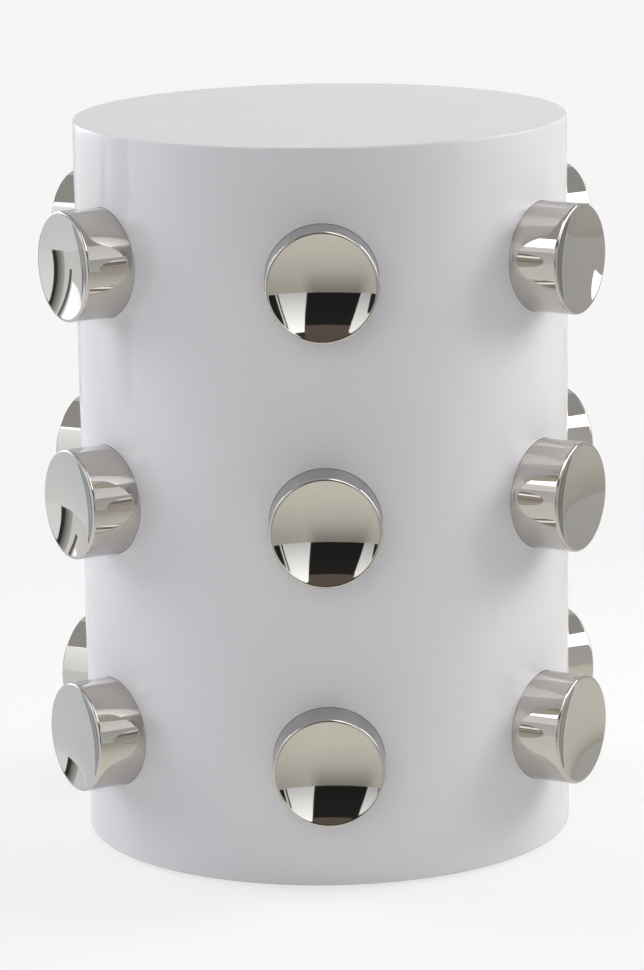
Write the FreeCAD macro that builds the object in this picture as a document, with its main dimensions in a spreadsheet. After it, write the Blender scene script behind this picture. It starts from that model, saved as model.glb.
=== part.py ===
import FreeCAD, Part
import os
import Sketcher

# Round side table: a white lacquered drum with dished metal studs bolted to its side.
# Millimetres, +Z up. The origin is on the floor under the middle of the drum.
# Stud column 1 faces -Y, and the columns count counter-clockwise seen from above.
# Row 1 is the lowest row of studs.

driving_sizes = {
    # Drum
    "drum_diameter": 304,
    "drum_height": 448,
    "wall_thickness": 12,
    "top_lip": 8,
    "spigot_depth": 10,
    "edge_radius": 1.5,
    "glue_gap": 0.2,
    # Rings and panel inside the drum
    "former_thickness": 12,
    "former_width": 30,
    "base_ring_thickness": 18,
    "panel_thickness": 6,
    # Layout of the studs
    "stud_columns": 6,
    "stud_rows": 3,
    "stud_margin": 44.5,
    # One stud
    "stud_diameter": 67,
    "stud_projection": 27.5,
    "stud_clearance": 0.15,
    "seat_depth": 1.2,
    "cap_gauge": 1,
    "lip_bend_radius": 0.5,
    "dish_radius": 90,
    "core_clearance": 0.2,
    "core_cover": 7,
    # Stud fixings
    "bolt_diameter": 6,
    "bolt_clearance": 0.25,
    "bolt_show": 3,
    "thread_gap": 0.1,
    "washer_width": 6,
    "washer_thickness": 1.6,
    "nut_wall": 2,
    "nut_height": 5,
    # Glides and their screws
    "glide_count": 4,
    "glide_diameter": 24,
    "glide_inset": 8,
    "glide_web": 2,
    "glide_show": 2,
    "glide_ease": 1,
    "screw_diameter": 4,
    "screw_clearance": 0.2,
    "screw_head_overhang": 2,
    "pan_head_height": 2.4,
    "pan_head_sink": 0.6,
    "screw_bite": 12,
    "screw_point": 3,
}

# Sizes and places that follow from the driving ones. Radii are measured from the drum's
# axis or, for a stud, from its own axis. A stud's heights start at the seat it stands on.
worked_out = {
    "drum_radius": "=sizes.drum_diameter / 2",
    "wall_bore": "=drum_radius - sizes.wall_thickness",
    "glued_radius": "=wall_bore - sizes.glue_gap",
    "wall_height": "=sizes.drum_height - sizes.top_lip",
    "glide_radius": "=sizes.glide_diameter / 2",
    "glide_height": "=sizes.glide_web + sizes.pan_head_height + sizes.pan_head_sink",
    "glide_circle": "=wall_bore - sizes.glide_inset - glide_radius",
    "panel_top": "=glide_height + sizes.panel_thickness",
    "base_ring_bore": "=glide_circle - glide_radius - sizes.glide_inset",
    "former_bore": "=glued_radius - sizes.former_width",
    "stud_radius": "=sizes.stud_diameter / 2",
    "pocket_radius": "=stud_radius + sizes.stud_clearance",
    "seat_radius": "=sqrt(drum_radius ^ 2 - pocket_radius ^ 2) - sizes.seat_depth",
    "stud_depth": "=drum_radius + sizes.stud_projection - seat_radius",
    "row_inset": "=sizes.stud_margin + stud_radius",
    "first_row": "=sizes.glide_show + row_inset",
    "row_pitch": "=(sizes.drum_height - 2 * row_inset) / max(1; sizes.stud_rows - 1)",
    "cap_bore": "=stud_radius - sizes.cap_gauge",
    "lip_radius": "=sizes.lip_bend_radius + sizes.cap_gauge",
    "lip_centre": "=stud_radius - lip_radius",
    "lip_height": "=stud_depth - lip_radius",
    "dish_reach": "=sizes.dish_radius + lip_radius",
    "dish_rise": "=sqrt(dish_reach ^ 2 - lip_centre ^ 2)",
    "dish_centre": "=lip_height + dish_rise",
    "dish_floor": "=dish_centre - sizes.dish_radius",
    "back_radius": "=sizes.dish_radius + sizes.cap_gauge",
    "back_floor": "=dish_floor - sizes.cap_gauge",
    "core_radius": "=cap_bore - sizes.core_clearance",
    "core_height": "=back_floor - sizes.core_clearance",
    "bolt_radius": "=sizes.bolt_diameter / 2",
    "bolt_hole": "=bolt_radius + sizes.bolt_clearance",
    "thread_bore": "=bolt_radius + sizes.thread_gap",
    "bolt_grip": "=core_height - sizes.core_cover",
    "washer_radius": "=bolt_hole + sizes.washer_width",
    "washer_seat": "=sqrt(wall_bore ^ 2 - washer_radius ^ 2)",
    "nut_seat": "=washer_seat - sizes.washer_thickness",
    "nut_corner": "=(bolt_radius + sizes.nut_wall) / cos(30)",
    "bolt_start": "=seat_radius + bolt_grip",
    "bolt_length": "=bolt_start - nut_seat + sizes.nut_height + sizes.bolt_show",
    "screw_radius": "=sizes.screw_diameter / 2",
    "screw_hole": "=screw_radius + sizes.screw_clearance",
    "pilot_hole": "=screw_radius + sizes.thread_gap",
    "head_radius": "=screw_radius + sizes.screw_head_overhang",
    "head_recess": "=head_radius + sizes.screw_clearance",
    "recess_depth": "=sizes.pan_head_height + sizes.pan_head_sink",
    "glide_angle": "=180 / sizes.glide_count",
}


def make_sheet(name, cells):
    sheet = doc.addObject("Spreadsheet::Sheet", name)
    for row, (alias, content) in enumerate(cells.items(), 1):
        sheet.set(f"A{row}", alias)
        sheet.set(f"B{row}", str(content))
        sheet.setAlias(f"B{row}", alias)
    doc.recompute()
    return sheet


def number(expression):
    return float(places.evalExpression(expression))


def new_body(label):
    body = doc.addObject("PartDesign::Body", label)
    body.Label = label
    sub_parts.append(body)
    return body


def origin_item(body, role):
    return next(item for item in body.Origin.OriginFeatures if item.Role == role)


def new_sketch(body, name, plane, offset=None):
    sketch = body.newObject("Sketcher::SketchObject", name)
    sketch.AttachmentSupport = [(origin_item(body, plane), "")]
    sketch.MapMode = "FlatFace"
    if offset:
        sketch.setExpression("AttachmentOffset", offset)
    return sketch


def pin_point(sketch, piece, end, x, y):
    for kind, zero_axis, distance in (("DistanceX", -2, x), ("DistanceY", -1, y)):
        if distance == "0":
            sketch.addConstraint(Sketcher.Constraint("PointOnObject", piece, end, zero_axis))
        else:
            rule = Sketcher.Constraint(kind, -1, 1, piece, end, number(distance))
            sketch.setExpression(f"Constraints[{sketch.addConstraint(rule)}]", distance)


def set_radius(sketch, piece, radius):
    rule = Sketcher.Constraint("Radius", piece, number(radius))
    sketch.setExpression(f"Constraints[{sketch.addConstraint(rule)}]", radius)


def add_circle(sketch, radius, x="0", y="0", construction=False):
    middle = FreeCAD.Vector(number(x), number(y), 0)
    circle = Part.Circle(middle, FreeCAD.Vector(0, 0, 1), number(radius))
    piece = sketch.addGeometry(circle, construction)
    pin_point(sketch, piece, 3, x, y)
    set_radius(sketch, piece, radius)
    return piece


# A closed outline through the corners. arcs gives, for the corner where an arc starts,
# the arc's centre and radius. Every other side is straight.
def add_outline(sketch, corners, arcs=None):
    arcs = arcs or {}
    spots = [FreeCAD.Vector(number(x), number(y), 0) for x, y in corners]
    sides = []
    for index, start in enumerate(spots):
        end = spots[(index + 1) % len(spots)]
        if index in arcs:
            centre_x, centre_y, radius = arcs[index]
            centre = FreeCAD.Vector(number(centre_x), number(centre_y), 0)
            outward = ((start + end) / 2 - centre).normalize()
            side = Part.Arc(start, centre + outward * number(radius), end)
        else:
            side = Part.LineSegment(start, end)
        sides.append(sketch.addGeometry(side))

    def end_near(piece, spot):
        return min((1, 2), key=lambda end: sketch.getPoint(piece, end).distanceToPoint(spot))

    for index, spot in enumerate(spots):
        piece = sides[index]
        before = sides[index - 1]
        here = end_near(piece, spot)
        there = end_near(before, spot)
        sketch.addConstraint(Sketcher.Constraint("Coincident", before, there, piece, here))
        pin_point(sketch, piece, here, *corners[index])
    for index, (centre_x, centre_y, radius) in arcs.items():
        set_radius(sketch, sides[index], radius)


def add_hexagon(sketch, corner_radius):
    sides = 6
    reach = FreeCAD.Vector(number(corner_radius), 0, 0)
    turn = FreeCAD.Rotation(FreeCAD.Vector(0, 0, 1), 360 / sides)
    spots = [reach]
    while len(spots) < sides:
        spots.append(turn.multVec(spots[-1]))
    circle = add_circle(sketch, corner_radius, construction=True)
    lines = []
    for index, start in enumerate(spots):
        end = spots[(index + 1) % sides]
        lines.append(sketch.addGeometry(Part.LineSegment(start, end)))
    for index, line in enumerate(lines):
        sketch.addConstraint(Sketcher.Constraint("Coincident", lines[index - 1], 2, line, 1))
        sketch.addConstraint(Sketcher.Constraint("PointOnObject", line, 1, circle))
        if index:
            sketch.addConstraint(Sketcher.Constraint("Equal", lines[0], line))
    sketch.addConstraint(Sketcher.Constraint("PointOnObject", lines[0], 1, -1))


def add_pad(body, sketch, length, inward=False):
    pad = body.newObject("PartDesign::Pad", f"{body.Label}_pad")
    pad.Profile = sketch
    pad.Reversed = inward
    pad.setExpression("Length", length)
    return pad


# Cuts along the sketch's normal or, inward, against it. The cut has to take something away.
def add_pocket(body, sketch, length, inward=False):
    doc.recompute()
    volume_before = body.Shape.Volume
    pocket = body.newObject("PartDesign::Pocket", f"{sketch.Label}_cut")
    pocket.Profile = sketch
    pocket.Reversed = inward
    pocket.setExpression("Length", length)
    doc.recompute()
    if body.Shape.Volume >= volume_before:
        raise RuntimeError(f"{pocket.Label} cuts nothing")
    return pocket


def add_turned(body, sketch, kind="PartDesign::Revolution", axis="V_Axis"):
    turned = body.newObject(kind, f"{sketch.Label}_turned")
    turned.Profile = sketch
    turned.ReferenceAxis = (sketch, [axis])
    turned.Angle = 360
    return turned


def repeat_round(body, feature, count):
    doc.recompute()
    pattern = body.newObject("PartDesign::PolarPattern", f"{feature.Label}_round")
    pattern.Originals = [feature]
    pattern.Axis = (origin_item(body, "Z_Axis"), [""])
    pattern.Angle = 360
    pattern.setExpression("Occurrences", count)
    body.Tip = pattern


# Repeats a feature made at row 1 of column 1 at every stud.
def repeat_at_studs(body, feature):
    doc.recompute()
    pattern = body.newObject("PartDesign::MultiTransform", f"{feature.Label}_at_studs")
    pattern.Originals = [feature]
    rows = body.newObject("PartDesign::LinearPattern", f"{feature.Label}_rows")
    rows.Direction = (origin_item(body, "Z_Axis"), [""])
    rows.Mode = "Spacing"
    rows.setExpression("Offset", "places.row_pitch")
    rows.setExpression("Occurrences", "sizes.stud_rows")
    columns = body.newObject("PartDesign::PolarPattern", f"{feature.Label}_columns")
    columns.Axis = (origin_item(body, "Z_Axis"), [""])
    columns.Angle = 360
    columns.setExpression("Occurrences", "sizes.stud_columns")
    pattern.Transformations = [rows, columns]
    body.Tip = pattern


# Offset of a sketch in the XZ plane, across the axis of the stud at row 1 of column 1.
def facing_stud(distance, height):
    return f"placement(vector(0; {height}; {distance}); rotation(vector(1; 0; 0); 0))"


# Offset of a sketch in the YZ plane. Its H axis runs inward along the same stud's axis.
def along_stud(distance):
    return f"placement(vector(-{distance}; places.first_row; 0); rotation(vector(1; 0; 0); 0))"


# Offset of a sketch in the XZ plane, standing on the glides' circle at an angle from +X.
def on_glide_circle(angle):
    turn = f"rotation(vector(0; 1; 0); {angle})"
    return f"placement({turn} * vector(places.glide_circle; 0; 0); {turn})"


def place_at_height(body, height):
    body.setExpression("Placement.Base.z", height)


# Rounds the drum's outer edge at a height of the body.
def ease_edge(body, height):
    doc.recompute()
    base = body.Tip
    centre = FreeCAD.Vector(0, 0, number(height))
    radius = number("places.drum_radius")
    names = []
    for index, edge in enumerate(base.Shape.Edges, 1):
        if not isinstance(edge.Curve, Part.Circle):
            continue
        if edge.Curve.Center.isEqual(centre, tolerance) and abs(edge.Curve.Radius - radius) < tolerance:
            names.append(f"Edge{index}")
    fillet = body.newObject("PartDesign::Fillet", f"{body.Label}_eased_edge")
    fillet.Base = (base, names)
    fillet.setExpression("Radius", "sizes.edge_radius")


def make_top_panel():
    body = new_body("top_panel")
    disc = new_sketch(body, "top_disc", "XY_Plane")
    add_circle(disc, "places.drum_radius")
    add_pad(body, disc, "sizes.top_lip")
    spigot = new_sketch(body, "top_spigot", "XY_Plane")
    add_circle(spigot, "places.glued_radius")
    add_pad(body, spigot, "sizes.spigot_depth", inward=True)
    ease_edge(body, "sizes.top_lip")
    place_at_height(body, "sizes.glide_show + places.wall_height")


def make_drum_wall():
    body = new_body("drum_wall")
    section = new_sketch(body, "wall_section", "XY_Plane")
    add_circle(section, "places.drum_radius")
    add_circle(section, "places.wall_bore")
    add_pad(body, section, "places.wall_height")
    ease_edge(body, "0")
    seat = new_sketch(body, "stud_seat", "XZ_Plane", facing_stud("places.seat_radius", "places.row_inset"))
    add_circle(seat, "places.pocket_radius")
    seats = add_pocket(body, seat, "sizes.wall_thickness", inward=True)
    repeat_at_studs(body, seats)
    hole = new_sketch(body, "bolt_hole", "XZ_Plane", facing_stud("places.seat_radius", "places.row_inset"))
    add_circle(hole, "places.bolt_hole")
    holes = add_pocket(body, hole, "sizes.wall_thickness")
    repeat_at_studs(body, holes)
    place_at_height(body, "sizes.glide_show")


def make_former_rings():
    for gap in range(round(number("sizes.stud_rows")) - 1):
        body = new_body(f"former_ring_{gap + 1}")
        section = new_sketch(body, f"former_section_{gap + 1}", "XY_Plane")
        add_circle(section, "places.glued_radius")
        add_circle(section, "places.former_bore")
        add_pad(body, section, "sizes.former_thickness")
        middle = f"places.first_row + {gap + 0.5} * places.row_pitch"
        place_at_height(body, f"{middle} - sizes.former_thickness / 2")


# Screw holes on the glides' circle: one under each glide and one halfway to the next.
def add_screw_holes(body, radius, length):
    across = "places.glide_circle * cos(places.glide_angle)"
    along = "places.glide_circle * sin(places.glide_angle)"
    holes = new_sketch(body, f"{body.Label}_screw_holes", "XY_Plane")
    add_circle(holes, radius, "places.glide_circle", "0")
    add_circle(holes, radius, across, along)
    repeat_round(body, add_pocket(body, holes, length, inward=True), "sizes.glide_count")


def make_base_ring():
    body = new_body("base_ring")
    section = new_sketch(body, "base_ring_section", "XY_Plane")
    add_circle(section, "places.glued_radius")
    add_circle(section, "places.base_ring_bore")
    add_pad(body, section, "sizes.base_ring_thickness")
    add_screw_holes(body, "places.pilot_hole", "sizes.base_ring_thickness")
    place_at_height(body, "places.panel_top")


def make_base_panel():
    body = new_body("base_panel")
    disc = new_sketch(body, "panel_disc", "XY_Plane")
    add_circle(disc, "places.glued_radius")
    add_pad(body, disc, "sizes.panel_thickness")
    add_screw_holes(body, "places.screw_hole", "sizes.panel_thickness")
    doc.recompute()
    cone = new_sketch(body, "countersink", "XZ_Plane", on_glide_circle("0"))
    add_outline(cone, [
        ("0", "0"),
        ("places.head_recess", "0"),
        ("places.screw_hole", "sizes.screw_head_overhang"),
        ("0", "sizes.screw_head_overhang"),
    ])
    countersink = add_turned(body, cone, "PartDesign::Groove")
    repeat_round(body, countersink, "sizes.glide_count")
    place_at_height(body, "places.glide_height")


def make_base_panel_screws():
    body = new_body("base_panel_screws")
    length = "(sizes.panel_thickness + sizes.screw_bite)"
    section = new_sketch(body, "panel_screw_section", "XZ_Plane", on_glide_circle("0"))
    add_outline(section, [
        ("0", "0"),
        ("places.head_radius", "0"),
        ("places.screw_radius", "sizes.screw_head_overhang"),
        ("places.screw_radius", f"{length} - sizes.screw_point"),
        ("0", length),
    ])
    repeat_round(body, add_turned(body, section), "sizes.glide_count")
    place_at_height(body, "places.glide_height")


def make_glide_screws():
    body = new_body("glide_screws")
    length = "(sizes.glide_web + sizes.panel_thickness + sizes.screw_bite)"
    under_head = "sizes.pan_head_height"
    tip = f"({under_head} + {length})"
    section = new_sketch(body, "glide_screw_section", "XZ_Plane", on_glide_circle("places.glide_angle"))
    add_outline(section, [
        ("0", "0"),
        ("places.head_radius", "0"),
        ("places.head_radius", under_head),
        ("places.screw_radius", under_head),
        ("places.screw_radius", f"{tip} - sizes.screw_point"),
        ("0", tip),
    ])
    repeat_round(body, add_turned(body, section), "sizes.glide_count")
    place_at_height(body, "sizes.pan_head_sink")


def make_glides():
    for index in range(round(number("sizes.glide_count"))):
        body = new_body(f"glide_{index + 1}")
        section = new_sketch(body, f"glide_section_{index + 1}", "XZ_Plane")
        add_outline(section, [
            ("places.head_recess", "0"),
            ("places.glide_radius - sizes.glide_ease", "0"),
            ("places.glide_radius", "sizes.glide_ease"),
            ("places.glide_radius", "places.glide_height"),
            ("places.screw_hole", "places.glide_height"),
            ("places.screw_hole", "places.recess_depth"),
            ("places.head_recess", "places.recess_depth"),
        ])
        add_turned(body, section)
        angle = f"({2 * index + 1} * places.glide_angle)"
        body.setExpression("Placement.Base.x", f"places.glide_circle * cos({angle})")
        body.setExpression("Placement.Base.y", f"places.glide_circle * sin({angle})")


# Stands a stud's piece on its seat, with the piece's own +Z pointing out of the drum.
def place_at_stud(body, column, row):
    angle = f"({column} * 360 / sizes.stud_columns)"
    spot = (
        f"vector(places.seat_radius * sin({angle}); -places.seat_radius * cos({angle});"
        f" places.first_row + {row} * places.row_pitch)"
    )
    turn = f"rotation(vector(0; 0; 1); {angle}) * rotation(vector(1; 0; 0); 90)"
    body.setExpression("Placement", f"placement({spot}; {turn})")


# A pressed cup: its side turns over a rounded lip into the dished face.
def make_stud_cap(column, row):
    mark = f"column{column + 1}_row{row + 1}"
    body = new_body(f"stud_cap_{mark}")
    section = new_sketch(body, f"cap_section_{mark}", "XZ_Plane")
    front_share = "sizes.dish_radius / places.dish_reach"
    back_share = "places.back_radius / places.dish_reach"
    lip_middle = ("places.lip_centre", "places.lip_height")
    dish_middle = ("0", "places.dish_centre")
    corners = [
        ("places.cap_bore", "0"),
        ("places.stud_radius", "0"),
        ("places.stud_radius", "places.lip_height"),
        (f"places.lip_centre * {front_share}", f"places.dish_centre - places.dish_rise * {front_share}"),
        ("0", "places.dish_floor"),
        ("0", "places.back_floor"),
        (f"places.lip_centre * {back_share}", f"places.dish_centre - places.dish_rise * {back_share}"),
        ("places.cap_bore", "places.lip_height"),
    ]
    arcs = {
        2: (*lip_middle, "places.lip_radius"),
        3: (*dish_middle, "sizes.dish_radius"),
        5: (*dish_middle, "places.back_radius"),
        6: (*lip_middle, "sizes.lip_bend_radius"),
    }
    add_outline(section, corners, arcs)
    add_turned(body, section)
    place_at_stud(body, column, row)


# A turned plug that fills the cup up to the back of its face, bored for the bolt.
def make_stud_core(column, row):
    mark = f"column{column + 1}_row{row + 1}"
    body = new_body(f"stud_core_{mark}")
    section = new_sketch(body, f"core_section_{mark}", "XZ_Plane")
    add_outline(section, [
        ("places.thread_bore", "0"),
        ("places.core_radius", "0"),
        ("places.core_radius", "places.core_height"),
        ("0", "places.core_height"),
        ("0", "places.bolt_grip"),
        ("places.thread_bore", "places.bolt_grip"),
    ])
    add_turned(body, section)
    place_at_stud(body, column, row)


def make_stud_bolts():
    body = new_body("stud_bolts")
    section = new_sketch(body, "bolt_section", "YZ_Plane", along_stud("places.bolt_start"))
    add_outline(section, [
        ("0", "0"),
        ("places.bolt_length", "0"),
        ("places.bolt_length", "places.bolt_radius"),
        ("0", "places.bolt_radius"),
    ])
    repeat_at_studs(body, add_turned(body, section, axis="H_Axis"))


def make_stud_washers():
    body = new_body("stud_washers")
    section = new_sketch(body, "washer_section", "YZ_Plane", along_stud("places.washer_seat"))
    add_outline(section, [
        ("0", "places.bolt_hole"),
        ("sizes.washer_thickness", "places.bolt_hole"),
        ("sizes.washer_thickness", "places.washer_radius"),
        ("0", "places.washer_radius"),
    ])
    repeat_at_studs(body, add_turned(body, section, axis="H_Axis"))


def make_stud_nuts():
    body = new_body("stud_nuts")
    section = new_sketch(body, "nut_section", "XZ_Plane", facing_stud("places.nut_seat", "places.first_row"))
    add_hexagon(section, "places.nut_corner")
    add_circle(section, "places.thread_bore")
    repeat_at_studs(body, add_pad(body, section, "sizes.nut_height", inward=True))


doc = FreeCAD.newDocument("round_side_table")
sizes = make_sheet("sizes", driving_sizes)
places = make_sheet("places", worked_out)
sub_parts = []
tolerance = 1e-6

make_top_panel()
make_drum_wall()
make_former_rings()
make_base_ring()
make_base_panel()
make_base_panel_screws()
make_glides()
make_glide_screws()
for column in range(round(number("sizes.stud_columns"))):
    for row in range(round(number("sizes.stud_rows"))):
        make_stud_cap(column, row)
        make_stud_core(column, row)
make_stud_bolts()
make_stud_washers()
make_stud_nuts()
doc.recompute()

for item in doc.Objects:
    if "Invalid" in item.State or "Error" in item.State:
        raise RuntimeError(f"{item.Label} failed: {item.State}")
for body in sub_parts:
    if body.Shape.isNull() or not body.Shape.isValid():
        raise RuntimeError(f"{body.Label} has no valid shape")

os.makedirs("parts", exist_ok=True)
for body in sub_parts:
    body.Shape.exportStep(f"parts/{body.Label}.step")
print(f"wrote {len(sub_parts)} sub-parts")
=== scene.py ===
import math

import bmesh
import bpy
from mathutils import Matrix, Vector


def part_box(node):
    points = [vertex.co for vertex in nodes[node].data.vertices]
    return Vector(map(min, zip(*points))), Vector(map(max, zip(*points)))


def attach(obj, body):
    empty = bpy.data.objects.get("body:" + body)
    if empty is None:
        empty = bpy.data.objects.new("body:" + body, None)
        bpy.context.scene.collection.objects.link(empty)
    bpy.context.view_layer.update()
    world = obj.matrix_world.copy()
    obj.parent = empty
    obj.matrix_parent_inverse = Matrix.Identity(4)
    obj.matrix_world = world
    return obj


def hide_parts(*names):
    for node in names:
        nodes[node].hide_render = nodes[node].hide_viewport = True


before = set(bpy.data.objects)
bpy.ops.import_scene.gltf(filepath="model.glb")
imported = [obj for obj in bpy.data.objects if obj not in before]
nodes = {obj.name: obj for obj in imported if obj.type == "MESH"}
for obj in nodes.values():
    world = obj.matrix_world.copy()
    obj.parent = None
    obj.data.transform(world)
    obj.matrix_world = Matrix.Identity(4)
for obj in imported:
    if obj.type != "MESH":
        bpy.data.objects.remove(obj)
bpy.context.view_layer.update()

scene = bpy.context.scene
scene.view_settings.view_transform = "Standard"
print("frame loaded,", len(nodes), "nodes")


# camera, solved from the drum's outline in the photograph
photoCamera = {
    "place": (0.0, -2.67787, 0.80108),   # metres
    "pitchDown": 12.3177,                # degrees
    "turn": -0.04124,
    "roll": -0.88026,
    "lens": 162.387,                     # mm
    "longSide": 36,                      # mm, the film behind the picture's long side
}


def addCamera(values):
    pitch = math.radians(values["pitchDown"])
    turn = math.radians(values["turn"])
    roll = math.radians(values["roll"])
    upright = Vector((0, 0, 1))
    sideways = Vector((math.cos(turn), -math.sin(turn), 0))
    ahead = Vector((math.sin(turn), math.cos(turn), 0))
    forward = math.cos(pitch) * ahead - math.sin(pitch) * upright
    raised = math.sin(pitch) * ahead + math.cos(pitch) * upright
    right = math.cos(roll) * sideways + math.sin(roll) * raised
    up = math.cos(roll) * raised - math.sin(roll) * sideways
    lens = bpy.data.cameras.new("photoCamera")
    lens.lens = values["lens"]
    lens.sensor_width = values["longSide"]
    camera = bpy.data.objects.new("photoCamera", lens)
    turned = Matrix((right, up, -forward)).transposed()
    camera.matrix_world = Matrix.Translation(values["place"]) @ turned.to_4x4()
    scene.collection.objects.link(camera)
    scene.camera = camera


addCamera(photoCamera)
print("camera placed")


# materials
noiseSpread = (0.3, 0.7)             # nearly all values of a noise texture lie between these


def startMaterial(name):
    material = bpy.data.materials.new(name)
    material.use_nodes = True
    tree = material.node_tree
    shader = tree.nodes["Principled BSDF"]
    place = tree.nodes.new("ShaderNodeTexCoord").outputs["Object"]
    return material, tree, shader, place


def addStretch(tree, place, scale):
    mapping = tree.nodes.new("ShaderNodeMapping")
    mapping.inputs["Scale"].default_value = scale
    tree.links.new(place, mapping.inputs["Vector"])
    return mapping.outputs["Vector"]


def addNoise(tree, place, scale, detail):
    noise = tree.nodes.new("ShaderNodeTexNoise")
    noise.inputs["Scale"].default_value = scale
    noise.inputs["Detail"].default_value = detail
    tree.links.new(place, noise.inputs["Vector"])
    return noise.outputs["Fac"]


def addRange(tree, source, ends, results, interpolation="LINEAR"):
    spread = tree.nodes.new("ShaderNodeMapRange")
    spread.interpolation_type = interpolation
    for socketName, value in zip(("From Min", "From Max", "To Min", "To Max"), (*ends, *results)):
        spread.inputs[socketName].default_value = value
    tree.links.new(source, spread.inputs["Value"])
    return spread.outputs["Result"]


def addColours(tree, source, dark, light):
    ramp = tree.nodes.new("ShaderNodeValToRGB")
    for element, place, colour in zip(ramp.color_ramp.elements, noiseSpread, (dark, light)):
        element.position = place
        element.color = (*colour, 1)
    tree.links.new(source, ramp.inputs["Fac"])
    return ramp.outputs["Color"]


def addBump(tree, source, strength, depth):
    bump = tree.nodes.new("ShaderNodeBump")
    bump.inputs["Strength"].default_value = strength
    bump.inputs["Distance"].default_value = depth
    tree.links.new(source, bump.inputs["Height"])
    return bump.outputs["Normal"]


def finishShader(tree, shader, look, cloud, haze, relief):
    # the three textures give colour, roughness and bump
    colour = addColours(tree, cloud, look["dark"], look["light"])
    roughness = addRange(tree, haze, noiseSpread, look["roughness"])
    normal = addBump(tree, relief, *look["bump"])
    tree.links.new(colour, shader.inputs["Base Color"])
    tree.links.new(roughness, shader.inputs["Roughness"])
    tree.links.new(normal, shader.inputs["Normal"])


# in every look a noise is (scale, detail) and a bump is (strength, depth in metres)
whiteLacquerLook = {
    "dark": (0.777, 0.769, 0.808),
    "light": (0.802, 0.794, 0.832),
    "cloud": (7, 3),
    "haze": (38, 4),
    "roughness": (0.045, 0.075),
    "peel": (420, 1),                # orange peel of a sprayed and buffed coat
    "bump": (0.03, 0.0002),
    "refraction": 1.5,
}


def makeWhiteLacquer(look):
    material, tree, shader, place = startMaterial("whiteLacquer")
    cloud = addNoise(tree, place, *look["cloud"])
    haze = addNoise(tree, place, *look["haze"])
    peel = addNoise(tree, place, *look["peel"])
    finishShader(tree, shader, look, cloud, haze, peel)
    shader.inputs["IOR"].default_value = look["refraction"]
    return material


polishedNickelLook = {
    "dark": (0.585, 0.556, 0.520),
    "light": (0.615, 0.585, 0.548),
    "edge": (0.78, 0.80, 0.83),      # at a grazing angle
    "cloud": (25, 3),
    "haze": (90, 5),
    "roughness": (0.02, 0.05),
    "ripple": (70, 1),
    "bump": (0.02, 0.0003),
}


def makePolishedNickel(look):
    material, tree, shader, place = startMaterial("polishedNickel")
    cloud = addNoise(tree, place, *look["cloud"])
    haze = addNoise(tree, place, *look["haze"])
    ripple = addNoise(tree, place, *look["ripple"])
    finishShader(tree, shader, look, cloud, haze, ripple)
    shader.inputs["Metallic"].default_value = 1
    shader.inputs["Specular Tint"].default_value = (*look["edge"], 1)
    return material


rawBoardLook = {
    "dark": (0.30, 0.19, 0.11),
    "light": (0.48, 0.33, 0.20),
    "fibre": (450, 8),
    "stretch": (1, 1, 2.5),
    "roughness": (0.75, 0.92),
    "bump": (0.3, 0.0003),
}


def makeRawBoard(look):
    material, tree, shader, place = startMaterial("rawBoard")
    fibre = addNoise(tree, addStretch(tree, place, look["stretch"]), *look["fibre"])
    finishShader(tree, shader, look, fibre, fibre, fibre)
    return material


turnedWoodLook = {
    "dark": (0.36, 0.21, 0.11),
    "light": (0.58, 0.39, 0.22),
    "rings": {"Scale": 60, "Distortion": 3, "Detail": 3},
    "stretch": (1, 1, 0.15),
    "pores": (900, 4),
    "roughness": (0.5, 0.7),
    "bump": (0.25, 0.0002),
}


def makeTurnedWood(look):
    material, tree, shader, place = startMaterial("turnedWood")
    grain = tree.nodes.new("ShaderNodeTexWave")
    grain.wave_type = "RINGS"
    for socketName, value in look["rings"].items():
        grain.inputs[socketName].default_value = value
    tree.links.new(addStretch(tree, place, look["stretch"]), grain.inputs["Vector"])
    pores = addNoise(tree, place, *look["pores"])
    finishShader(tree, shader, look, grain.outputs["Fac"], pores, pores)
    return material


zincSteelLook = {
    "dark": (0.42, 0.44, 0.47),
    "light": (0.62, 0.64, 0.66),
    "spangle": (350, 5),
    "roughness": (0.28, 0.45),
    "bump": (0.1, 0.0001),
}


def makeZincSteel(look):
    material, tree, shader, place = startMaterial("zincSteel")
    spangle = addNoise(tree, place, *look["spangle"])
    finishShader(tree, shader, look, spangle, spangle, spangle)
    shader.inputs["Metallic"].default_value = 1
    return material


nylonLook = {
    "dark": (0.70, 0.68, 0.63),
    "light": (0.80, 0.78, 0.73),
    "cloud": (160, 4),
    "roughness": (0.38, 0.52),
    "grain": (1500, 3),
    "bump": (0.15, 0.0001),
}


def makeNylon(look):
    material, tree, shader, place = startMaterial("nylon")
    cloud = addNoise(tree, place, *look["cloud"])
    grain = addNoise(tree, place, *look["grain"])
    finishShader(tree, shader, look, cloud, cloud, grain)
    return material


whiteLacquer = makeWhiteLacquer(whiteLacquerLook)
polishedNickel = makePolishedNickel(polishedNickelLook)
rawBoard = makeRawBoard(rawBoardLook)
turnedWood = makeTurnedWood(turnedWoodLook)
zincSteel = makeZincSteel(zincSteelLook)
nylon = makeNylon(nylonLook)
print("materials made")


# turned forms
axisLimit = 1e-7                     # metres; a point closer than this lies on the axis
sharpFrom = math.radians(40)         # faces that meet at more than this keep a sharp edge


def arcPoints(centre, radius, start, end, steps):
    points = []
    for step in range(steps + 1):
        angle = start + (end - start) * step / steps
        points.append((centre[0] + radius * math.cos(angle), centre[1] + radius * math.sin(angle)))
    return points


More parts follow.
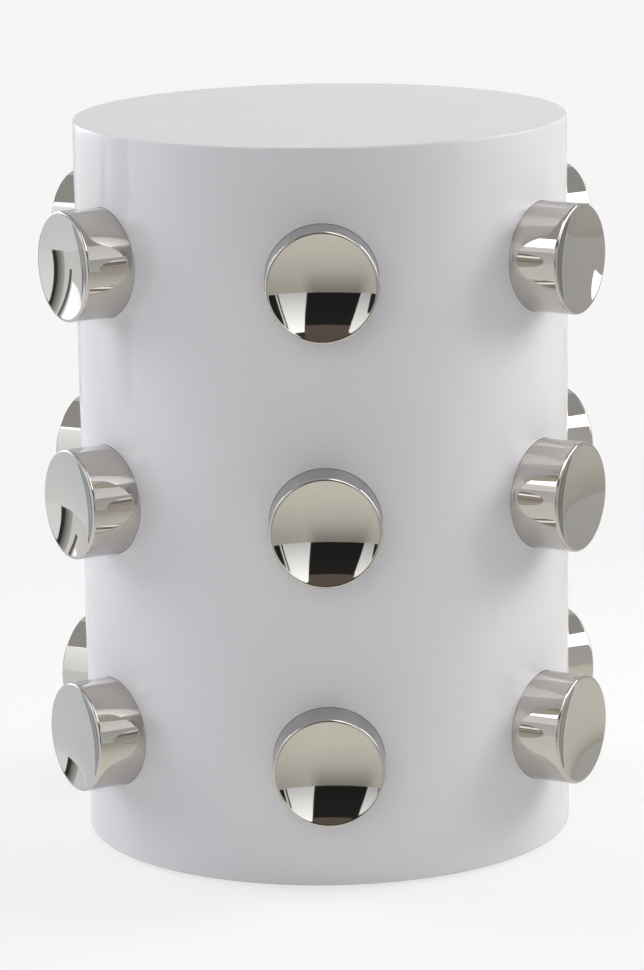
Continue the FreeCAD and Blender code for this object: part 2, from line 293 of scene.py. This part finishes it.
def turnProfile(name, profile, segments):
    # (radius, height) points; a profile that starts off the axis is a closed ring's section
    work = bmesh.new()
    rings = []
    for radius, height in profile:
        if radius < axisLimit:
            rings.append([work.verts.new((0, 0, height))])
            continue
        ring = []
        for step in range(segments):
            angle = 2 * math.pi * step / segments
            ring.append(work.verts.new((radius * math.cos(angle), radius * math.sin(angle), height)))
        rings.append(ring)
    bands = list(zip(rings, rings[1:]))
    if len(rings[0]) > 1:
        bands.append((rings[-1], rings[0]))
    for inner, outer in bands:
        for step in range(segments):
            after = (step + 1) % segments
            corners = [inner[step % len(inner)], inner[after % len(inner)]]
            corners += [outer[after % len(outer)], outer[step % len(outer)]]
            work.faces.new(list(dict.fromkeys(corners)))
    bmesh.ops.recalc_face_normals(work, faces=work.faces)
    for face in work.faces:
        face.smooth = True
    for edge in work.edges:
        edge.smooth = edge.calc_face_angle(0) < sharpFrom
    mesh = bpy.data.meshes.new(name)
    work.to_mesh(mesh)
    work.free()
    piece = bpy.data.objects.new(name, mesh)
    scene.collection.objects.link(piece)
    return piece


def keepPlainMesh(piece):
    bpy.context.view_layer.update()
    shown = piece.evaluated_get(bpy.context.evaluated_depsgraph_get())
    plain = bpy.data.meshes.new_from_object(shown)
    piece.modifiers.clear()
    piece.data = plain


# studs: where they sit comes from the frame, how they are turned from this dictionary
studForm = {
    "columns": 6,
    "rows": 3,
    "dishRadius": 0.090,
    "lipRadius": 0.0015,
    "gauge": 0.0010,                 # pressed sheet
    "segments": 128,
    "dishSteps": 16,
    "lipSteps": 12,
    "insideSteps": 4,
    "faceShare": 0.985,              # of the way out to the lip, whose own arc takes the last step
    "backShare": 0.97,
    "sideStart": 0.0004,             # a ring this close below the lip keeps the side's shading straight
    "pocketClearance": 0.00015,
    "pocketSegments": 160,
    "boltHoleRadius": 0.00325,
}
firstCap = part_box("stud_cap_column1_row1")
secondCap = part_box("stud_cap_column1_row2")
studRadius = (firstCap[1].x - firstCap[0].x) / 2
studDepth = firstCap[1].y - firstCap[0].y
seatDistance = -firstCap[1].y
lowestRow = (firstCap[0].z + firstCap[1].z) / 2
rowPitch = (secondCap[0].z + secondCap[1].z) / 2 - lowestRow
print("stud radius", round(studRadius, 5), "depth", round(studDepth, 5), "seat", round(seatDistance, 5))


def makePlacingTree():
    tree = bpy.data.node_groups.new("placeAtStuds", "GeometryNodeTree")
    for name, kind in (
        ("Piece", "Geometry"),
        ("Columns", "Int"),
        ("Rows", "Int"),
        ("Seat Distance", "Float"),
        ("Lowest Row", "Float"),
        ("Row Pitch", "Float"),
        ("Finish", "Material"),
    ):
        tree.interface.new_socket(name, in_out="INPUT", socket_type="NodeSocket" + kind)
    tree.interface.new_socket("Placed", in_out="OUTPUT", socket_type="NodeSocketGeometry")
    inputs = tree.nodes.new("NodeGroupInput").outputs
    result = tree.nodes.new("NodeGroupOutput").inputs
    index = tree.nodes.new("GeometryNodeInputIndex").outputs["Index"]

    def calculate(operation, first, second=None, third=None):
        node = tree.nodes.new("ShaderNodeMath")
        node.operation = operation
        for socket, value in zip(node.inputs, (first, second, third)):
            if isinstance(value, (int, float)):
                socket.default_value = value
            elif value is not None:
                tree.links.new(value, socket)
        return node.outputs["Value"]

    column = calculate("MODULO", index, inputs["Columns"])
    row = calculate("FLOOR", calculate("DIVIDE", index, inputs["Columns"]))
    angle = calculate("MULTIPLY", column, calculate("DIVIDE", 2 * math.pi, inputs["Columns"]))
    place = tree.nodes.new("ShaderNodeCombineXYZ")
    across = calculate("MULTIPLY", calculate("SINE", angle), inputs["Seat Distance"])
    front = calculate("MULTIPLY", calculate("COSINE", angle), inputs["Seat Distance"])
    tree.links.new(across, place.inputs["X"])
    tree.links.new(calculate("MULTIPLY", front, -1.0), place.inputs["Y"])
    height = calculate("MULTIPLY_ADD", row, inputs["Row Pitch"], inputs["Lowest Row"])
    tree.links.new(height, place.inputs["Z"])
    points = tree.nodes.new("GeometryNodePoints")
    tree.links.new(calculate("MULTIPLY", inputs["Columns"], inputs["Rows"]), points.inputs["Count"])
    tree.links.new(place.outputs["Vector"], points.inputs["Position"])
    facing = tree.nodes.new("ShaderNodeCombineXYZ")
    facing.inputs["X"].default_value = math.pi / 2      # a stud is turned about Z, and faces outwards
    tree.links.new(angle, facing.inputs["Z"])
    turned = tree.nodes.new("FunctionNodeEulerToRotation")
    tree.links.new(facing.outputs["Vector"], turned.inputs["Euler"])
    copies = tree.nodes.new("GeometryNodeInstanceOnPoints")
    tree.links.new(points.outputs[0], copies.inputs["Points"])
    tree.links.new(inputs["Piece"], copies.inputs["Instance"])
    tree.links.new(turned.outputs["Rotation"], copies.inputs["Rotation"])
    realized = tree.nodes.new("GeometryNodeRealizeInstances")
    tree.links.new(copies.outputs["Instances"], realized.inputs["Geometry"])
    finish = tree.nodes.new("GeometryNodeSetMaterial")
    tree.links.new(realized.outputs["Geometry"], finish.inputs["Geometry"])
    tree.links.new(inputs["Finish"], finish.inputs["Material"])
    tree.links.new(finish.outputs["Geometry"], result["Placed"])
    return tree


placeAtStuds = makePlacingTree()


def spreadToStuds(piece, finish):
    modifier = piece.modifiers.new("placeAtStuds", "NODES")
    modifier.node_group = placeAtStuds
    values = {
        "Columns": studForm["columns"],
        "Rows": studForm["rows"],
        "Seat Distance": seatDistance,
        "Lowest Row": lowestRow,
        "Row Pitch": rowPitch,
        "Finish": finish,
    }
    for socket in placeAtStuds.interface.items_tree:
        if socket.in_out == "INPUT" and socket.name in values:
            modifier[socket.identifier] = values[socket.name]
    keepPlainMesh(piece)


def studProfile(form):
    lip = form["lipRadius"]
    gauge = form["gauge"]
    dish = form["dishRadius"]
    lipCentre = (studRadius - lip, studDepth - lip)
    dishCentre = lipCentre[1] + math.sqrt((dish + lip) ** 2 - lipCentre[0] ** 2)
    lean = math.atan2(lipCentre[0], dishCentre - lipCentre[1])     # where dish and lip meet
    down = -math.pi / 2
    meeting = math.pi / 2 + lean
    faceEnd = down + lean * form["faceShare"]
    backStart = down + lean * form["backShare"]
    sideTop = lipCentre[1] - form["sideStart"]
    insideSteps = form["insideSteps"]
    face = arcPoints((0, dishCentre), dish, down, faceEnd, form["dishSteps"])
    edge = arcPoints(lipCentre, lip, meeting, 0, form["lipSteps"])
    side = [(studRadius, sideTop), (studRadius, 0)]
    inside = [(studRadius - gauge, 0), (studRadius - gauge, sideTop)]
    bend = arcPoints(lipCentre, lip - gauge, 0, meeting, insideSteps)
    back = arcPoints((0, dishCentre), dish + gauge, backStart, down, insideSteps)
    face[0] = (0, face[0][1])
    back[-1] = (0, back[-1][1])
    return face + edge + side + inside + bend + back


polishedStuds = turnProfile("polishedStuds", studProfile(studForm), studForm["segments"])
spreadToStuds(polishedStuds, polishedNickel)
print("studs placed,", len(polishedStuds.data.polygons), "faces")


# lacquered drum: one skin over wall and top, so the shading runs on over the joint
drumForm = {
    "edgeRadius": 0.0015,
    "edgeSteps": 6,
    "wallThickness": 0.012,
    "spigotGap": 0.0002,
    "topRings": (0, 0.3, 0.7),       # shares of the radius
    "segments": 384,
    "heightSteps": 12,
    "skinTolerance": 0.00004,        # metres off the skin that still count as on it
    "cutterOverrun": 0.004,          # metres that the pocket cutters pass the wall on both sides
}
wallLow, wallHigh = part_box("drum_wall")
topLow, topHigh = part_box("top_panel")
drumRadius = wallHigh.x
drumEdge = drumForm["edgeRadius"]
drumInside = drumRadius - drumForm["wallThickness"]
spigotRadius = drumInside - drumForm["spigotGap"]
drumBottom = wallLow.z
drumTop = topHigh.z


def drumCore(point):
    # nearest point of the drum shrunk by its edge radius: the skin lies that radius off it
    flat = Vector((point.x, point.y, 0))
    if flat.length > drumRadius - drumEdge:
        flat = flat.normalized() * (drumRadius - drumEdge)
    flat.z = min(max(point.z, drumBottom + drumEdge), drumTop - drumEdge)
    return flat


def dressDrumSkin(piece):
    # lacquer and true round normals on the skin, bare board where it isn't seen
    mesh = piece.data
    mesh.materials.clear()
    mesh.materials.append(whiteLacquer)
    mesh.materials.append(rawBoard)
    outward = [point.co - drumCore(point.co) for point in mesh.vertices]
    onSkin = [abs(away.length - drumEdge) < drumForm["skinTolerance"] for away in outward]
    normals = [None] * len(mesh.loops)
    for face in mesh.polygons:
        face.use_smooth = True
        skin = all(onSkin[corner] for corner in face.vertices)
        face.material_index = 0 if skin else 1
        for loop in face.loop_indices:
            corner = mesh.loops[loop].vertex_index
            normals[loop] = outward[corner].normalized() if skin else face.normal
    mesh.normals_split_custom_set(normals)


def wallProfile():
    lowest = drumBottom + drumEdge
    corner = (drumRadius - drumEdge, lowest)
    section = arcPoints(corner, drumEdge, -math.pi / 2, 0, drumForm["edgeSteps"])
    steps = drumForm["heightSteps"]
    for step in range(1, steps + 1):
        section.append((drumRadius, lowest + (wallHigh.z - lowest) * step / steps))
    return section + [(drumInside, wallHigh.z), (drumInside, drumBottom)]


def topProfile():
    shelf = wallHigh.z
    corner = (drumRadius - drumEdge, drumTop - drumEdge)
    rim = arcPoints(corner, drumEdge, math.pi / 2, 0, drumForm["edgeSteps"])
    disc = [(drumRadius * share, drumTop) for share in drumForm["topRings"]]
    spigot = [(drumRadius, shelf), (spigotRadius, shelf), (spigotRadius, topLow.z), (0, topLow.z)]
    return disc + rim + spigot


def pocketProfile(form):
    hole = form["boltHoleRadius"]
    pocket = studRadius + form["pocketClearance"]
    past = drumRadius - seatDistance + drumForm["cutterOverrun"]
    through = drumInside - seatDistance - drumForm["cutterOverrun"]
    return [(0, through), (hole, through), (hole, 0), (pocket, 0), (pocket, past), (0, past)]


lacqueredWall = turnProfile("lacqueredWall", wallProfile(), drumForm["segments"])
pocketCutters = turnProfile("pocketCutters", pocketProfile(studForm), studForm["pocketSegments"])
spreadToStuds(pocketCutters, rawBoard)
cutting = lacqueredWall.modifiers.new("studPockets", "BOOLEAN")
cutting.operation = "DIFFERENCE"
cutting.solver = "EXACT"
cutting.object = pocketCutters
keepPlainMesh(lacqueredWall)
bpy.data.objects.remove(pocketCutters)
dressDrumSkin(lacqueredWall)
lacqueredTop = turnProfile("lacqueredTop", topProfile(), drumForm["segments"])
dressDrumSkin(lacqueredTop)
print("drum turned,", len(lacqueredWall.data.polygons), "wall faces")


# finishes of the CAD pieces that stay as they are
innerFinishes = {
    "former_ring": rawBoard,
    "base_ring": rawBoard,
    "base_panel_screws": zincSteel,
    "base_panel": rawBoard,
    "glide_screws": zincSteel,
    "glide": nylon,
    "stud_core": turnedWood,
    "stud_bolts": zincSteel,
    "stud_washers": zincSteel,
    "stud_nuts": zincSteel,
}
for nodeName, node in nodes.items():
    for start, finish in innerFinishes.items():
        if nodeName.startswith(start):
            for slot in node.material_slots:
                slot.material = finish
            break
print("inner pieces finished")


# stage
studioLight = {
    "pale": 0.92,                    # floor and world as they are seen
    "fill": 0.20,                    # world as it lights the table
    "floorColour": 0.85,
    "floorGlow": 0.69,               # close to the table, where the floor keeps the shadow
    "floorShade": 0.28,
    "shadowReach": (0.45, 1.3),      # metres from the table's axis
    "floorReach": 14,
}


def seenDirectly(tree):
    # 1 for camera, glossy and transmission rays
    path = tree.nodes.new("ShaderNodeLightPath").outputs
    seen = path["Is Camera Ray"]
    for ray in ("Is Glossy Ray", "Is Transmission Ray"):
        either = tree.nodes.new("ShaderNodeMath")
        either.operation = "MAXIMUM"
        tree.links.new(seen, either.inputs[0])
        tree.links.new(path[ray], either.inputs[1])
        seen = either.outputs["Value"]
    return seen


def addMix(tree, share, first, second):
    mix = tree.nodes.new("ShaderNodeMixShader")
    tree.links.new(share, mix.inputs["Fac"])
    tree.links.new(first, mix.inputs[1])
    tree.links.new(second, mix.inputs[2])
    return mix.outputs["Shader"]


def makeWorld(values):
    world = bpy.data.worlds.new("studioWorld")
    world.use_nodes = True
    tree = world.node_tree
    output = tree.nodes["World Output"]
    lighting = tree.nodes["Background"]
    lighting.inputs["Color"].default_value = (1, 1, 1, 1)
    lighting.inputs["Strength"].default_value = values["fill"]
    shown = tree.nodes.new("ShaderNodeBackground")
    shown.inputs["Color"].default_value = (1, 1, 1, 1)
    shown.inputs["Strength"].default_value = values["pale"]
    seen = seenDirectly(tree)
    mix = addMix(tree, seen, lighting.outputs["Background"], shown.outputs["Background"])
    tree.links.new(mix, output.inputs["Surface"])
    scene.world = world


def addSheet(name, points, faces, material):
    mesh = bpy.data.meshes.new(name)
    mesh.from_pydata(points, [], faces)
    mesh.materials.append(material)
    sheet = bpy.data.objects.new(name, mesh)
    scene.collection.objects.link(sheet)
    return sheet


def startPlainMaterial(name):
    material = bpy.data.materials.new(name)
    material.use_nodes = True
    tree = material.node_tree
    tree.nodes.remove(tree.nodes["Principled BSDF"])
    return material, tree, tree.nodes["Material Output"].inputs["Surface"]


def addMatt(tree, tone):
    matt = tree.nodes.new("ShaderNodeBsdfDiffuse")
    matt.inputs["Color"].default_value = (tone, tone, tone, 1)
    return matt.outputs["BSDF"]


def addGlow(tree, strength):
    glow = tree.nodes.new("ShaderNodeEmission")
    glow.inputs["Strength"].default_value = strength
    return glow.outputs["Emission"]


def makeFloor(values):
    material, tree, surface = startPlainMaterial("paleFloor")
    place = tree.nodes.new("ShaderNodeTexCoord").outputs["Object"]
    reach = tree.nodes.new("ShaderNodeVectorMath")
    reach.operation = "LENGTH"
    tree.links.new(place, reach.inputs[0])
    near = tree.nodes.new("ShaderNodeAddShader")
    tree.links.new(addMatt(tree, values["floorShade"]), near.inputs[0])
    tree.links.new(addGlow(tree, values["floorGlow"]), near.inputs[1])
    share = addRange(tree, reach.outputs["Value"], values["shadowReach"], (0, 1), "SMOOTHSTEP")
    shown = addMix(tree, share, near.outputs["Shader"], addGlow(tree, values["pale"]))
    mix = addMix(tree, seenDirectly(tree), addMatt(tree, values["floorColour"]), shown)
    tree.links.new(mix, surface)
    end = values["floorReach"]
    corners = [(-end, -end, 0), (end, -end, 0), (end, end, 0), (-end, end, 0)]
    floor = addSheet("paleFloor", corners, [(0, 1, 2, 3)], material)
    floor.visible_glossy = False             # the floor cards stand for it in the gloss


def roundTable(azimuth, distance, height):
    angle = math.radians(azimuth)
    return Vector((math.sin(angle) * distance, -math.cos(angle) * distance, height))


# azimuths in degrees from the front, sizes in metres, power in watts
softboxes = {
    "rightSoftbox": {"azimuth": 101, "distance": 1.15, "height": 0.78, "size": (0.55, 0.6), "power": 10.7,
                     "colour": (1, 1, 0.965)},
    "leftSoftbox": {"azimuth": -111, "distance": 1.9, "height": 0.95, "size": (0.8, 1.3), "power": 21.5,
                    "colour": (0.99, 0.99, 1)},
    "frontFill": {"azimuth": -8, "distance": 2.9, "height": 1.2, "size": (2.6, 1.9), "power": 22.5,
                  "colour": (1, 1, 1)},
    "topFill": {"azimuth": 0, "distance": 0, "height": 2.4, "size": (1.6, 1.6), "power": 11,
                "colour": (1, 0.99, 0.985)},
}
softboxAim = Vector((0, 0, 0.25))    # about the middle of the table


def addSoftbox(name, values):
    lamp = bpy.data.lights.new(name, "AREA")
    lamp.shape = "RECTANGLE"
    lamp.size, lamp.size_y = values["size"]
    lamp.energy = values["power"]
    lamp.color = values["colour"]
    softbox = bpy.data.objects.new(name, lamp)
    place = roundTable(values["azimuth"], values["distance"], values["height"])
    turned = (softboxAim - place).to_track_quat("-Z", "Y").to_matrix()
    softbox.matrix_world = Matrix.Translation(place) @ turned.to_4x4()
    softbox.visible_camera = False
    softbox.visible_glossy = False           # the cards stand for them in the gloss
    scene.collection.objects.link(softbox)


makeWorld(studioLight)
makeFloor(studioLight)
for boxName, boxValues in softboxes.items():
    addSoftbox(boxName, boxValues)

# the studio as the gloss shows it, its flats, walls and glows: azimuths in degrees
# from the front, foot and top as (distance, height) in metres, brightness at foot and top (fade is
# the same at the far end), and lean, the degrees that the top's two ends stand further round
studioTints = {
    "plain": (1, 1, 1),
    "warm": (1, 0.985, 0.905),
    "cool": (0.96, 1, 1.04),
    "brown": (1, 0.82, 0.74),
}
frontCards = {
    "darkRoom": {"from": -27.3, "to": 10.6, "foot": (4.4, -0.05), "top": (4.4, 1.75),
                 "bright": (0.018, 0.026), "lean": (7, 3)},
    "dimRoom": {"from": -21, "to": 13.6, "foot": (4.5, 1.7), "top": (4.0, 4.2), "bright": (0.15, 0.12),
                "tint": "brown"},
    "rightFlat": {"from": 10.6, "to": 31, "foot": (4.3, -0.05), "top": (4.3, 2.1), "bright": (0.8, 1.8),
                  "lean": (3.2, -7), "tint": "cool"},
    "rightStrip": {"from": 32, "to": 33.2, "foot": (4.3, -0.05), "top": (4.3, 1.7), "bright": (0.75, 0.9),
                   "lean": (-6, -6)},
    "rightGap": {"from": 31, "to": 40, "foot": (4.5, -0.05), "top": (4.5, 1.7), "bright": (0.02, 0.03),
                 "lean": (-6, 0)},
    "rightHeader": {"from": 13.6, "to": 50, "foot": (4.5, 1.7), "top": (4.2, 4.2), "bright": (0.04, 0.07)},
    "rightFront": {"from": 40, "to": 60, "foot": (4.4, -0.05), "top": (4.4, 1.6), "bright": (0.6, 0.5)},
    "leftFlat": {"from": -34.6, "to": -27.3, "foot": (4.3, -0.05), "top": (4.3, 2.1), "bright": (0.65, 1.5),
                 "lean": (6, 8), "tint": "cool"},
    "leftGap": {"from": -39.5, "to": -34.6, "foot": (4.5, -0.05), "top": (4.5, 1.0), "bright": (0.03, 0.04),
                "lean": (4, 4)},
    "leftFront": {"from": -60, "to": -39.5, "foot": (4.4, -0.05), "top": (4.4, 1.6), "bright": (0.7, 0.6)},
}
sideCards = {
    "leftHigh": {"from": -76, "to": -56, "foot": (3.0, 1.75), "top": (3.0, 3.0), "bright": (2.2, 2.6)},
    "leftPale": {"from": -96, "to": -62, "foot": (1.6, 0), "top": (1.6, 1.3), "bright": (1.05, 1.3),
                 "tint": "cool"},
    "leftSlot": {"from": -100.5, "to": -96, "foot": (1.55, 0), "top": (1.55, 0.7), "bright": (0.05, 0.03),
                 "lean": (4, 2)},
    "leftShade": {"from": -110, "to": -100.5, "foot": (1.56, 0), "top": (1.56, 0.7), "bright": (0.62, 0.7),
                  "fade": (0.14, 0.1), "lean": (5, 4)},
    "leftGrey": {"from": -116, "to": -109, "foot": (1.6, 0), "top": (1.6, 0.7), "bright": (0.9, 1),
                 "tint": "cool"},
    "leftLine": {"from": -119, "to": -115.5, "foot": (1.52, 0.16), "top": (1.52, 0.7),
                 "bright": (0.15, 0.25), "lean": (10, 10)},
    "leftGlow": {"from": -151, "to": -119, "foot": (1.5, 0.25), "top": (1.5, 1.1), "bright": (1.7, 3),
                 "lean": (0, 14), "tint": "cool"},
    "leftRear": {"from": -163, "to": -116, "foot": (1.6, 0), "top": (1.6, 0.7), "bright": (0.9, 1.1)},
    "rearWall": {"from": 168, "to": 205, "foot": (1.4, 0), "top": (1.5, 1.6), "bright": (0.7, 0.8)},
    "rightTurn": {"from": 130, "to": 168, "foot": (1.4, 0), "top": (1.5, 1.6), "bright": (0.56, 0.5),
                  "fade": (0.7, 0.8)},
    "rightHigh": {"from": 56, "to": 80, "foot": (3.0, 1.5), "top": (3.0, 3.0), "bright": (0.9, 0.8)},
    "rightWall": {"from": 60, "to": 130, "foot": (1.4, 0), "top": (1.5, 1.6), "bright": (0.56, 0.5)},
    "rightCorner": {"from": 89, "to": 90.5, "foot": (1.36, 0.35), "top": (1.36, 0.61), "bright": (2.4, 2.6),
                    "lean": (-15, 10)},
    "rightGlow": {"from": 74, "to": 100.5, "foot": (1.36, 0.61), "top": (1.36, 1.5), "bright": (2.6, 3),
                  "lean": (-8, 34)},
    "rightOverhead": {"from": 12, "to": 62, "foot": (0.5, 3.1), "top": (3.8, 3.1), "bright": (2.3, 2.3)},
}
dimCeiling = {"height": 3.2, "reach": 5, "front": 4, "bright": 0.42}
farFront = {
    "times": 10,                     # the front is moved this many times further off
    "floorEnd": 3.85,                # metres from the axis, before the move
}
cardStep = 5                         # degrees, at most, between the points of a card's edge
floorClearance = 0.0005
floorSpans = {                       # azimuths
    "left": range(-180, -59, 5),
    "right": range(60, 181, 5),
    "front": range(-100, 101, 2),
}
floorDistances = (0.12, 0.5, 0.9, 1.5, 2.2, 3, 4.5)
floorTones = {           # by azimuth: close to the table, far off, metres where it is halfway, warmth
    -180: (0.86, 0.8, 1, 0.5),
    -130: (0.86, 1.1, 1.1, 0),
    -75: (0.86, 1.02, 1.1, 0),
    -32: (0.88, 0.57, 0.9, 1),
    -25: (0.88, 0.29, 1.2, 1),
    6: (0.88, 0.29, 1.2, 1),
    14: (0.88, 0.56, 0.9, 1),
    50: (0.86, 0.46, 0.9, 1),
    90: (0.88, 0.41, 0.65, 1),
    150: (0.87, 0.45, 0.7, 1),
    180: (0.86, 0.8, 1, 0.5),
}


def makeGlossTone():
    material, tree, surface = startPlainMaterial("glossTone")
    tone = tree.nodes.new("ShaderNodeAttribute")
    tone.attribute_name = "tone"
    glow = tree.nodes.new("ShaderNodeEmission")
    tree.links.new(tone.outputs["Color"], glow.inputs["Color"])
    tree.links.new(glow.outputs["Emission"], surface)
    return material


glossTone = makeGlossTone()


def mixed(first, second, share):
    return [low + (high - low) * share for low, high in zip(first, second)]


def tinted(tone, tint):
    return [tone * part for part in tint]


def addGlossCard(name, rows, colours):
    # rows of points, each with its colour, seen by the gloss alone
    wide = len(rows[0])
    faces = []
    for row in range(len(rows) - 1):
        for step in range(wide - 1):
            first = row * wide + step
            faces.append((first, first + 1, first + wide + 1, first + wide))
    card = addSheet(name, [point for row in rows for point in row], faces, glossTone)
    shade = card.data.attributes.new("tone", "FLOAT_COLOR", "POINT")
    for place, colour in zip(shade.data, [colour for row in colours for colour in row]):
        place.color = (*colour, 1)
    card.visible_camera = False
    card.visible_diffuse = False
    card.visible_transmission = False
    card.visible_shadow = False


topStud = Vector((0, -seatDistance - studDepth, lowestRow + rowPitch * (studForm["rows"] - 1)))


def moveOff(point, times):
    # further off on the same line from the top front stud, so that the studs below show it alike
    return topStud + (point - topStud) * times


def addCard(name, values, times):
    steps = math.ceil((values["to"] - values["from"]) / cardStep) + 1
    rows = []
    for edge, lean in (("foot", (0, 0)), ("top", values.get("lean", (0, 0)))):
        start = values["from"] + lean[0]
        turn = values["to"] + lean[1] - start
        places = [roundTable(start + turn * step / steps, *values[edge]) for step in range(steps + 1)]
        rows.append([moveOff(place, times) for place in places])
    tint = studioTints[values.get("tint", "plain")]
    colours = []
    for bright, faded in zip(values["bright"], values.get("fade", values["bright"])):
        tones = [bright + (faded - bright) * step / steps for step in range(steps + 1)]
        colours.append([tinted(tone, tint) for tone in tones])
    addGlossCard(name, rows, colours)


def floorColour(azimuth, distance):
    before = max(key for key in floorTones if key <= azimuth)
    after = min(key for key in floorTones if key >= azimuth)
    share = (azimuth - before) / (after - before) if after > before else 0
    near, far, halfway, warmth = mixed(floorTones[before], floorTones[after], share)
    tone = far + (near - far) / (1 + (distance / halfway) ** 3)
    return tinted(tone, mixed(studioTints["cool"], studioTints["warm"], warmth))


def addFloorCard(name, azimuths, distances, times):
    rows = []
    colours = []
    for distance in distances:
        places = [roundTable(azimuth, distance, floorClearance) for azimuth in azimuths]
        rows.append([moveOff(place, times) for place in places])
        colours.append([floorColour(azimuth, distance) for azimuth in azimuths])
    addGlossCard(name, rows, colours)


def addCeiling(values):
    end = values["reach"]
    high = values["height"]
    front = -values["front"]
    rows = [[(-end, front, high), (end, front, high)], [(-end, end, high), (end, end, high)]]
    addGlossCard("dimCeiling", rows, [[tinted(values["bright"], studioTints["plain"])] * 2] * 2)


for cardName, cardValues in frontCards.items():
    addCard(cardName, cardValues, farFront["times"])
for cardName, cardValues in sideCards.items():
    addCard(cardName, cardValues, 1)
addFloorCard("leftFloorCard", floorSpans["left"], floorDistances, 1)
addFloorCard("rightFloorCard", floorSpans["right"], floorDistances, 1)
frontDistances = [distance for distance in floorDistances if distance < farFront["floorEnd"]]
frontDistances.append(farFront["floorEnd"])
addFloorCard("frontFloorCard", floorSpans["front"], frontDistances, farFront["times"])
addCeiling(dimCeiling)
print("stage set")


# fit to the frame
capNodes = [name for name in nodes if name.startswith("stud_cap")]
for piece, slotName, replaced in (
    (lacqueredWall, "white_lacquer", ["drum_wall"]),
    (lacqueredTop, "white_lacquer", ["top_panel"]),
    (polishedStuds, "polished_nickel", capNodes),
):
    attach(piece, "root")
    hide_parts(*replaced)
